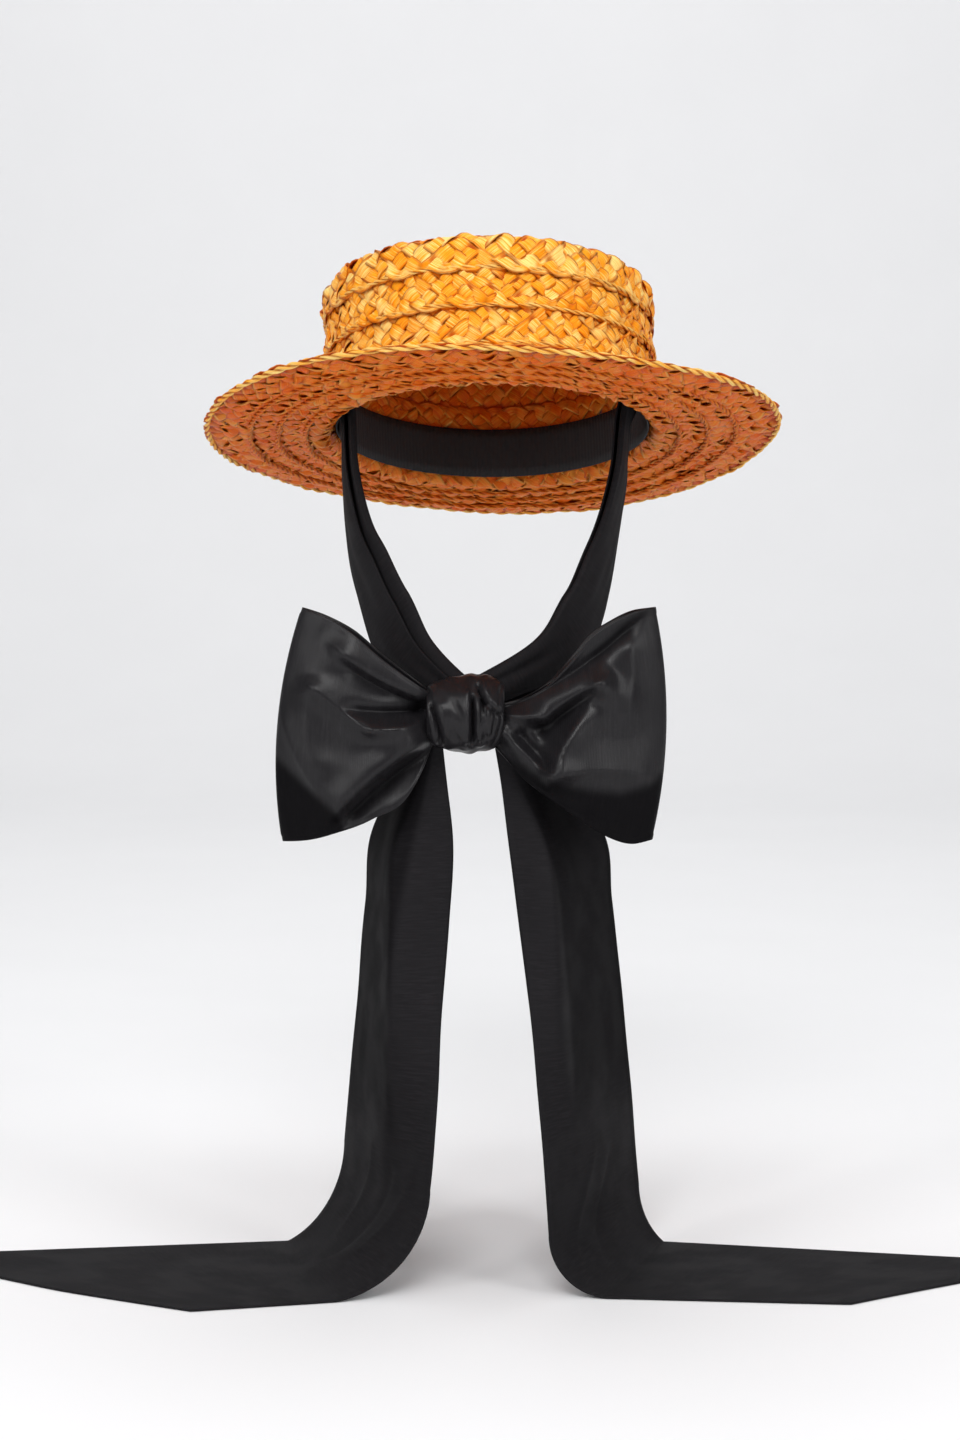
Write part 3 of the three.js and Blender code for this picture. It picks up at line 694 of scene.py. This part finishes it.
def cloth_normals(points):
    """Unit normals of a grid from the cross product of its two directions."""
    return unit(np.cross(np.gradient(points, axis=0), np.gradient(points, axis=1)))


def creases(rows, x, z):
    """Fold lines added up: each line bows between two places, has its own fall on either side and fades out."""
    total = np.zeros(np.broadcast(x, z).shape)
    for from_x, from_z, to_x, to_z, bow, start_rise, end_rise, left_width, right_width, power in rows:
        run_x = to_x - from_x
        run_z = to_z - from_z
        length = math.hypot(run_x, run_z)
        share = ((x - from_x) * run_x + (z - from_z) * run_z) / length**2
        off = ((z - from_z) * run_x - (x - from_x) * run_z) / length
        inside = np.clip(share, 0, 1)
        off = off - bow * 4 * inside * (1 - inside)
        width = np.where(off > 0, left_width, right_width)
        fade = ease(share, -0.15, 0.1) * (1 - ease(share, 0.85, 1.2))
        total = total + blend(start_rise, end_rise, inside) * fade * np.exp(-((np.abs(off) / width) ** power))
    return total


def crumple(chance, along, across, size, count=14):
    """Small even unrest: waves of random direction, length and phase added up to about one."""
    angle = chance.uniform(0, math.pi, count)
    wave = 2 * math.pi / (size * chance.uniform(0.6, 1.8, count))
    phase = chance.uniform(0, 2 * math.pi, count)
    way = along[..., None] * np.cos(angle) + across[..., None] * np.sin(angle)
    return np.sin(way * wave + phase).sum(axis=-1) / math.sqrt(count)


def hem_rise(edge_distance):
    """The turned edge is a little thicker than the cloth beside it."""
    return HEM_RISE * (1 - ease(edge_distance, HEM_WIDTH - 0.8, HEM_WIDTH))


def cloth_piece(name, points, along, across, node, finish, shade):
    """A sheet of taffeta: a grid of points with flat places, thickened evenly to both sides."""
    rows, columns = points.shape[:2]
    piece = add_piece(
        name,
        points.reshape(-1, 3),
        grid_faces(rows, columns),
        grid_uv(along * 0.1, across * 0.1),
        {"shade": np.broadcast_to(shade, (rows, columns))},
    )
    wall = piece.modifiers.new("wall", "SOLIDIFY")
    wall.thickness = SASH_WALL * MM
    wall.offset = 0
    piece.data.materials.append(finish)
    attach(piece, "root")
    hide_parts(node)
    return piece


# %% [markdown]
# ## The bow's loops
#
# Each loop of the bow is a stretch of the strip that leaves the knot, turns over at its outer edge and comes
# back behind. Half a turn gives that: the sine of the turn leads out and back, and its cosine brings the cloth
# from the front to the back. Crisp taffeta breaks into sharp folds that fan out from the knot, so each fold is
# a line on the front of the bow with its own rise and its own slope on either side.

# %% Tables of the loops
BOW_PLACE = np.array([-13.8, -82.0, -138.5])
LOOP_START = 15.0
LOOP_ROWS = 130
LOOP_COLUMNS = 100

# columns: side, then how far the outer edge reaches at its top, middle and bottom
LOOP_REACH = {"left": (-1, 81.0, 93.5, 91.5), "right": (1, 94.0, 100.0, 93.0)}
# columns: share of the way out, top, bottom, depth
LOOP_SECTIONS = {
    "left": [
        (0, 9, -13, 4), (0.17, 17, -40, 9), (0.4, 28.5, -51.5, 13),
        (0.63, 41.5, -58.5, 15), (0.82, 48.5, -62.5, 15), (1, 53, -64, 15),
    ],
    "right": [
        (0, 4, -17, 4), (0.17, 7.5, -31, 9), (0.34, 15.5, -41, 12), (0.5, 29.5, -50, 14),
        (0.6, 39, -55.5, 15), (0.72, 45.5, -61, 15), (0.86, 51, -64.5, 15), (1, 53, -63, 15),
    ],
}
# columns: from x, from z, to x, to z, bow, rise at start and end, width on the left and right, power
LOOP_CREASES = {
    "left": [
        (-20, 8, -64, 34, 2.5, 4, 5, 4, 11, 1.3),
        (-20, 5, -58, 24, 2, -4, -4, 5, 4, 1.4),
        (-20, 1.5, -57, 3, 1, -5, -4, 4, 3.5, 1.4),
        (-20, -3, -48, -7, 1, 3.5, 4, 5, 5, 1.3),
        (-47, -7, -79, 17, 1, 4, 5, 5, 9, 1.2),
        (-78, 15, -74, -28, -3, 4, 3, 8, 10, 1.6),
        (-20, -13, -66, -50, -3, 6, 8, 5, 15, 1.4),
        (-14, -15, -62, -54, -2, -5, -6, 6, 5, 1.5),
        (-12, -20, -30, -42, 0, 2, 1, 3, 3, 1.6),
        (-12, -24, -24, -44, 0, -2, -1, 2.5, 2.5, 1.6),
        (-91, -2, -73, -37, -2, 2.5, 3, 6, 3, 1.3),
    ],
    "right": [
        (20, 3, 88, 50, -4, -3, -5, 4, 4, 1.4),
        (18, 0, 40, -1, 0, 3, 4, 4, 3.5, 1.4),
        (39, -2, 69, 18, 2, 5, 6, 8, 4, 1.2),
        (36, -8, 64, 10, 0, -5, -6, 6, 7, 1.8),
        (70, 17, 42, -30, -2, 6, 6, 12, 4.5, 1.3),
        (16, -6, 41, -30, 0, 4, 4, 5, 4, 1.3),
        (26, -9, 42, -27, 0, -4, -5, 5, 4, 1.6),
        (41, -30, 94, -32, 4, 5, 4, 12, 7, 1.3),
        (16, -14, 34, -40, 0, -3, -2, 4, 4, 1.6),
        (82, 36, 81, -4, 1, 2.5, 3, 5, 9, 1.3),
    ],
}


# columns: x and z of the line below which a loop is painted darker, as painted shade
LOOP_PAINTED_SHADE = {
    "left": [(-95, -18), (-80, -32), (-65, -44), (-58, -58), (-20, -80)],
    "right": [(15, -14), (40, -29), (62, -34), (77, -36), (92, -32), (102, -22)],
}
LOOP_FOLD = 1.5
LOOP_FOLD_PAINTED_SHADE = 8.0


def loop_points(name, chance):
    """A half turn out and back, its folds added to how far the cloth stands forward, and the painted shade in its fold
    bottoms and lower corners.
    """
    side, reach_top, reach_middle, reach_bottom = LOOP_REACH[name]
    turn = np.linspace(0, math.pi, LOOP_ROWS)[:, None]
    share = np.linspace(0, 1, LOOP_COLUMNS)[None, :]
    out = np.sin(turn)
    table = np.array(LOOP_SECTIONS[name])
    top, bottom, depth = np.moveaxis(read_curve(table[:, 0], table[:, 1:], out), -1, 0)
    bowing = reach_middle - (reach_bottom + reach_top) / 2
    outer = blend(reach_bottom, reach_top, share) + bowing * 4 * share * (1 - share)
    x = side * blend(LOOP_START, outer, out)
    z = blend(bottom, top, share)
    unrest = crumple(chance, x + 0 * z, z + 0 * x, 26) * 0.5
    folds = LOOP_FOLD * creases(LOOP_CREASES[name], x, z)
    forward = np.cos(turn) * (depth + folds + unrest)
    points = np.stack([x, -forward, z], axis=-1) + BOW_PLACE
    edge = np.minimum(share, 1 - share) * SASH_WIDTH
    line = np.array(LOOP_PAINTED_SHADE[name])
    # painted shade: below the listed line and in the bottoms of folds the loop is painted darker
    below = ease(np.interp(x, line[:, 0], line[:, 1]) - z, -3, 7)
    shade = np.maximum(0.85 * below, np.clip(-folds / LOOP_FOLD_PAINTED_SHADE, 0, 0.7))
    return points + cloth_normals(points) * hem_rise(edge)[..., None], shade


# %% Both loops
sash_chance = np.random.default_rng(7)
for name, (_, _, reach, _) in LOOP_REACH.items():
    loop_length = 2 * (reach - LOOP_START)
    loop_run = np.linspace(0, loop_length, LOOP_ROWS)
    loop_across = np.linspace(0, SASH_WIDTH, LOOP_COLUMNS)
    points, shade = loop_points(name, sash_chance)
    cloth_piece(
        f"sash_loop_{name}", points, loop_run, loop_across, f"bow_loop_{name}", bow_taffeta, shade
    )

# %% [markdown]
# ## The knot
#
# The strip is wound once round the middle of the bow. It is a tube about the X axis whose radius swells in the
# middle and turns in at both ends, so no cut edge shows. The winding pulls the cloth into upright pleats, drawn
# as fold lines on its front.

# %% Winding the knot
KNOT_HALF = 20.8
KNOT_FLAT = 0.92
KNOT_SLANT = 2.5
KNOT_ROLL = 4.0
KNOT_FOLD = 1.5
KNOT_FOLD_PAINTED_SHADE = 3.5
KNOT_ROWS = 96
KNOT_COLUMNS = 132
# columns: place along the knot, radius
KNOT_PROFILE = [(-20.8, 10), (-18, 13.5), (-10, 17.2), (-1.5, 19), (7.5, 19), (16, 16.2), (20.8, 11.5)]
KNOT_CREASES = [
    (-19.5, 7, -14.5, -14, 0, 0.9, 0.9, 1.6, 2.2, 1.6),
    (-16.6, 5, -10.9, -14, 0.4, -1.9, -1.7, 1.3, 1.6, 1.5),
    (-12.5, 6, -7.5, -10, 0, 0.8, 0.4, 2.4, 2.4, 1.8),
    (-0.4, 12, 2.4, -14, 0.6, 1.5, 1.5, 0.9, 3.6, 1.3),
    (2.6, 9, 4.6, -13, 0.3, -2.4, -2.4, 1.5, 1.4, 1.5),
    (5, 9, 8.4, -13, 0, 1.2, 1.4, 1.5, 1.4, 1.5),
    (7.2, 9, 9.2, 1, 0, -1.8, -1.4, 1.3, 1.3, 1.5),
    (11, 5, 12.6, -10, 0, 1.3, 1.0, 1.5, 1.8, 1.5),
    (5, 14.5, 18.2, 0, -2, -2.0, -1.6, 1.1, 1.1, 1.4),
    (7.5, 16, 20, 2, -2.2, 1.1, 1.1, 2.6, 1.4, 1.4),
]


def knot_points(chance):
    """A tube about X: the radius comes from the profile, and folds press in or swell out its front."""
    place = np.linspace(-1, 1, KNOT_ROWS)[:, None]
    angle = np.linspace(0, 2 * math.pi, KNOT_COLUMNS)[None, :]
    table = np.array(KNOT_PROFILE)
    inner_end = ease(np.abs(place), 0.9, 1)
    along = place * KNOT_HALF * (1 - 0.12 * inner_end)
    radius = read_curve(table[:, 0], table[:, 1], along) - KNOT_ROLL * inner_end
    front = np.clip(-np.sin(angle) * 1.6, 0, 1)
    plain_z = radius * np.cos(angle)
    folds = KNOT_FOLD * front * creases(KNOT_CREASES, along, plain_z)
    radius = radius + folds
    radius = radius + (1 - front) * 0.35 * np.sin(along * 0.7 + 1.3 * np.cos(angle))
    radius = radius + 0.3 * crumple(chance, along + 0 * angle, radius * angle, 9)
    z = radius * np.cos(angle)
    y = radius * np.sin(angle) * KNOT_FLAT
    x = along + KNOT_SLANT * z / KNOT_HALF * (1 - np.abs(place))
    # painted shade: the bottoms of the knot's folds are painted darker through the shade mark
    return np.stack([x + 0 * z, y, z], axis=-1) + BOW_PLACE, np.clip(-folds / KNOT_FOLD_PAINTED_SHADE, 0, 0.8)


knot_run = np.linspace(0, 2 * KNOT_HALF, KNOT_ROWS)
knot_length = 2 * math.pi * max(radius for _, radius in KNOT_PROFILE)
knot_turn = np.linspace(0, knot_length, KNOT_COLUMNS)
points, shade = knot_points(sash_chance)
knot = cloth_piece("sash_knot", points, knot_run, knot_turn, "bow_knot", bow_taffeta, shade)

# %% [markdown]
# ## The ties
#
# From inside the crown the strip comes down each side folded in three, so it shows as a narrow band. The fold
# is a flat S in section: three straight layers joined by two half turns. That section is carried down a smooth
# route, lies on a gentle round, and is drawn together where it goes into the knot.

# %% Folding the ties
TIE_PITCH = 2.4
TIE_ROUND = 117.0
TIE_KNOT_SHARE = 0.5
TIE_GATHER_FROM = 0.7
TIE_ROWS = 100
TIE_LAYER_STEPS = 22
TIE_TURN_STEPS = 7
# columns: from, to, level
TIE_LAYERS = [(-15, 19, 1), (19, -21, 0), (-21, 19, -1)]
# columns: x, y, z, way it faces in degrees
TIE_ROUTES = {
    "left": [
        (-78.7, 4, 27, 0), (-76, -5, 8, 3), (-75, -13, -22, 6), (-70, -20, -54, 14),
        (-63, -28, -74, 22), (-54.5, -38, -94, 30), (-43, -51, -113, 42), (-20, -72, -131, 55),
    ],
    "right": [
        (77, 4, 27, 0), (69, -5, 8, 3), (66.5, -13, -22, 6), (60, -20, -54, 14),
        (54, -28, -74, 22), (46, -38, -94, 30), (31, -51, -113, 42), (-6, -72, -131, 55),
    ],
}
TIE_SIDES = {"left": -1, "right": 1}


def folded_section():
    """Three straight layers and the half turns between them, as places across and heights."""
    across, height = [], []
    for number, (start, end, level) in enumerate(TIE_LAYERS):
        share = np.linspace(0, 1, TIE_LAYER_STEPS)
        across.append(blend(start, end, share))
        height.append(np.full(TIE_LAYER_STEPS, level * TIE_PITCH))
        if number < len(TIE_LAYERS) - 1:
            angle = np.linspace(0, math.pi, TIE_TURN_STEPS + 2)[1:-1]
            across.append(end + math.copysign(TIE_PITCH / 2, end - start) * np.sin(angle))
            height.append((level - 0.5) * TIE_PITCH + TIE_PITCH / 2 * np.cos(angle))
    return np.concatenate(across), np.concatenate(height)


def tie_points(name, chance):
    """The section set square to its route; across it the band is rounded, and at the knot it narrows."""
    side = TIE_SIDES[name]
    route = np.array(TIE_ROUTES[name], float)
    knots = np.linspace(0, 1, len(route))
    place = np.linspace(0, 1, TIE_ROWS)
    middle = read_curve(knots, route[:, :3], place)
    facing = np.radians(read_curve(knots, route[:, 3], place))
    face = np.stack([side * np.cos(facing), -np.sin(facing), 0 * facing], axis=-1)
    down = unit(np.gradient(middle, axis=0))
    sideways = unit(np.cross(down, face))
    outward = np.cross(sideways, down)
    across, height = folded_section()
    narrowing = blend(1, TIE_KNOT_SHARE, ease(place, TIE_GATHER_FROM, 1))[:, None]
    pleats = 0.8 * ease(place, 0.6, 1)[:, None] * np.cos(across * 0.34 + side)[None, :]
    run = np.cumsum(np.linalg.norm(np.gradient(middle, axis=0), axis=1))[:, None]
    unrest = 0.3 * crumple(chance, run * 0.5 + 0 * across, across[None, :] * 2.2 + 0 * run, 34)
    rise = height[None, :] - across[None, :] ** 2 / (2 * TIE_ROUND) + pleats + unrest
    points = middle[:, None, :] + (across[None, :] * narrowing)[..., None] * sideways[:, None, :]
    return points + rise[..., None] * outward[:, None, :], run[:, 0], np.linspace(0, SASH_WIDTH, len(across))


for name in TIE_ROUTES:
    points, tie_run, tie_across = tie_points(name, sash_chance)
    cloth_piece(f"sash_tie_{name}", points, tie_run, tie_across, f"tie_{name}", tail_taffeta, 0)

# %% [markdown]
# ## The tails
#
# The two ends of the strip hang from the knot in a lengthwise fold, turn at the floor and lie outwards to a
# slanting end. A table gives the inner edge, the fold and the outer edge at a few heights. The outer edge's
# depth follows from the strip's true width, because cloth doesn't stretch.

# %% Tables of the tails
TAIL_HANG_ROWS = 110
TAIL_BEND_ROWS = 34
TAIL_FLOOR_ROWS = 60
TAIL_COLUMNS = 64
TAIL_FOLD_ROUND = 4.0
TAIL_PAINTED_SHADE = 0.6
# columns: height, inner edge, fold, outer edge, inner edge's depth, fold's depth, share gathered in
TAIL_HANGS = {
    "left": [
        (-145, -26, -28, -30, -74, -75, 0.94), (-175, -23, -38, -49, -66, -69, 0.65),
        (-205, -20, -49, -63, -69, -76, 0.3), (-245, -22, -51, -67, -73, -80, 0.08),
        (-295, -26, -52, -72, -80, -78, 0), (-345, -29, -54, -77, -84, -60, 0),
        (-401, -35, -58, -82, -84, -30, 0),
    ],
    "right": [
        (-145, -1, 1, 3, -74, -75, 0.94), (-175, 4, 16, 34, -66, -68, 0.65),
        (-205, 8, 27, 57, -69, -76, 0.3), (-245, 13, 31, 63, -73, -80, 0.08),
        (-295, 19, 34, 69, -80, -78, 0), (-345, 24, 41, 74, -85, -62, 0),
        (-401, 28, 53, 79, -86, -32, 0),
    ],
}
# columns: side, then bend, run and turn in degrees of the front edge and of the back edge
TAIL_ENDS = {"left": (-1, (55, 66, 13), (32, 206, 8)), "right": (1, (32, 120, 5), (14, 216, 11.7))}
# columns as for the loops, but x is the distance down the strip and z the distance across it
TAIL_CREASES = {
    "left": [
        (232, 10, 290, 40, 1, 0.8, 1.2, 5, 3, 1.2),
        (244, 38, 300, 60, -1, -0.8, -1.0, 4, 3, 1.2),
        (238, 66, 286, 80, 0, 0.7, 0.9, 3, 5, 1.2),
    ],
    "right": [
        (246, 58, 296, 22, 1, 0.9, 1.1, 5, 3, 1.2),
        (250, 84, 300, 52, 0, -0.8, -1.0, 4, 3, 1.2),
        (20, 30, 120, 36, 0, -1.2, -0.5, 6, 6, 1.6),
    ],
}


def tail_section(table, height):
    """Inner edge, fold and outer edge joined by straight cloth, with the fold itself a little rounded."""
    inner, fold, outer, inner_y, fold_y, gather = np.moveaxis(table, -1, 0)
    to_inner = np.stack([inner - fold, inner_y - fold_y], axis=-1)
    front_width = np.linalg.norm(to_inner, axis=-1)
    full_width = SASH_WIDTH * (1 - gather)
    back_width = full_width - front_width
    back_depth = np.sqrt(np.maximum(0, back_width**2 - (outer - fold) ** 2))
    to_outer = np.stack([outer - fold, back_depth], axis=-1)
    share = np.linspace(0, 1, TAIL_COLUMNS)[None, :]
    from_fold = share * full_width[:, None] - front_width[:, None]
    rounding = np.minimum(TAIL_FOLD_ROUND, full_width / 8)[:, None]
    soft = np.sqrt(from_fold**2 + rounding**2) - rounding * np.exp(-((from_fold / 20) ** 2)) * 0.5
    outward = (soft + from_fold) / 2
    inward = (soft - from_fold) / 2
    plane = np.stack([fold, fold_y], axis=-1)[:, None, :]
    plane = plane + inward[..., None] * (to_inner / front_width[:, None])[:, None, :]
    plane = plane + outward[..., None] * unit(to_outer)[:, None, :]
    return np.concatenate([plane, np.broadcast_to(height[:, None, None], plane.shape[:2] + (1,))], axis=-1)


def tail_points(name, chance):
    """Hanging sections, a quarter turn at the floor whose size changes across, and a run outwards."""
    side, front, back = TAIL_ENDS[name]
    table = np.array(TAIL_HANGS[name], float)
    bend_height = max(front[0], back[0])
    height = np.linspace(table[0, 0], FLOOR + SASH_WALL / 2 + bend_height, TAIL_HANG_ROWS)
    hanging = tail_section(read_curve(-table[:, 0], table[:, 1:], -height), height)
    foot = hanging[-1]
    share = np.linalg.norm(foot - foot[0], axis=-1) / np.linalg.norm(foot[-1] - foot[0])
    bend, run, turn = (blend(front[i], back[i], share)[None, :] for i in range(3))
    bend_share = np.concatenate([np.linspace(0, 1, TAIL_BEND_ROWS + 1)[1:], np.ones(TAIL_FLOOR_ROWS)])[:, None]
    run_share = np.concatenate([np.zeros(TAIL_BEND_ROWS), np.linspace(0, 1, TAIL_FLOOR_ROWS + 1)[1:]])[:, None]
    angle = bend_share * math.pi / 2
    out = bend * (1 - np.cos(angle)) + run_share * run
    below = (bend_height - bend) * bend_share + bend * np.sin(angle)
    way = np.radians(turn)
    lying = np.stack(
        [foot[:, 0] + side * np.cos(way) * out, foot[:, 1] - np.sin(way) * out, foot[:, 2] - below], axis=-1
    )
    points = np.concatenate([hanging, lying])
    middle = points[:, TAIL_COLUMNS // 2]
    down = np.cumsum(np.linalg.norm(np.gradient(middle, axis=0), axis=1))[:, None]
    across = np.linspace(0, SASH_WIDTH, TAIL_COLUMNS)[None, :]
    settle = 1 - ease(down, 330, 380)
    start = ease(down, 0, 60)
    rise = creases(TAIL_CREASES[name], down, across) * start
    rise = rise + 0.3 * crumple(chance, down + 0 * across, across + 0 * down, 70) * start * blend(0.25, 1, settle)
    edge = np.minimum(across, SASH_WIDTH - across)
    points = points + cloth_normals(points) * (side * rise + hem_rise(edge))[..., None]
    points[..., 2] = np.maximum(points[..., 2], FLOOR + SASH_WALL)
    # painted shade: the outer face of each hanging tail is painted darker through the shade mark
    shade = TAIL_PAINTED_SHADE * ease(across, 24, 34) * (1 - ease(down, 190, 260))
    return points, down[:, 0], across[0], shade


for name in TAIL_HANGS:
    points, tail_run, tail_across, shade = tail_points(name, sash_chance)
    cloth_piece(
        f"sash_tail_{name}", points, tail_run, tail_across, f"tail_{name}", tail_taffeta, shade
    )

# %% [markdown]
# ## The sweatband
#
# A black ribbed ribbon lines the foot of the crown. Its ribs stand upright and are real ridges here: the ribbon is a
# grid round the oval whose surface steps in and out with a cosine.

# %% Ribbon inside the crown
BAND_BOTTOM = 3.0
BAND_TOP = 30.0
BAND_GAP = 1.7
BAND_RIBS = 240
BAND_RIB_STEPS = 4
BAND_RIB_RISE = 0.16
BAND_ROWS = 6


def band_points():
    """The head's oval drawn in by a small gap, from the bottom to the top of the ribbon, ribbed all round."""
    angle = np.arange(BAND_RIBS * BAND_RIB_STEPS) / (BAND_RIBS * BAND_RIB_STEPS) * 2 * math.pi
    height = np.linspace(BAND_BOTTOM, BAND_TOP, BAND_ROWS)[:, None]
    inset = BAND_GAP + BAND_RIB_RISE * np.cos(angle * BAND_RIBS)[None, :] + 0 * height
    x = (HEAD_HALF_WIDTH - inset) * np.cos(angle)
    y = (HEAD_HALF_LENGTH - inset) * np.sin(angle)
    lean = CROWN_LEAN * np.maximum(height - CROWN_FOOT, 0) / (TIP_HEIGHT - CROWN_FOOT)
    return tip_back(np.stack([x + lean, y, height + 0 * x], axis=-1))


def band_finish():
    """Matt black ribbon with a faint mottle."""
    recipe = Recipe("ribbon")
    mottle = recipe.add("ShaderNodeTexNoise", Vector=recipe.flat_places(4, 4), Scale=1.0, Detail=4.0)
    colour = recipe.mix((mottle, "Fac"), (0.008, 0.008, 0.009, 1), (0.022, 0.02, 0.021, 1))
    return recipe.finish(Base_Color=colour, Roughness=0.75)


points = band_points()
band_uv = grid_uv(np.linspace(0, 2.7, BAND_ROWS), np.linspace(0, 57, points.shape[1] + 1))
band_faces = grid_faces(BAND_ROWS, points.shape[1], close_columns=True)
band = add_piece("sweatband_ribbon", points.reshape(-1, 3), band_faces, band_uv)
band_wall = band.modifiers.new("wall", "SOLIDIFY")
band_wall.thickness = 0.6 * MM
band_wall.offset = 0
band.data.materials.append(band_finish())
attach(band, "root")
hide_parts("sweatband")
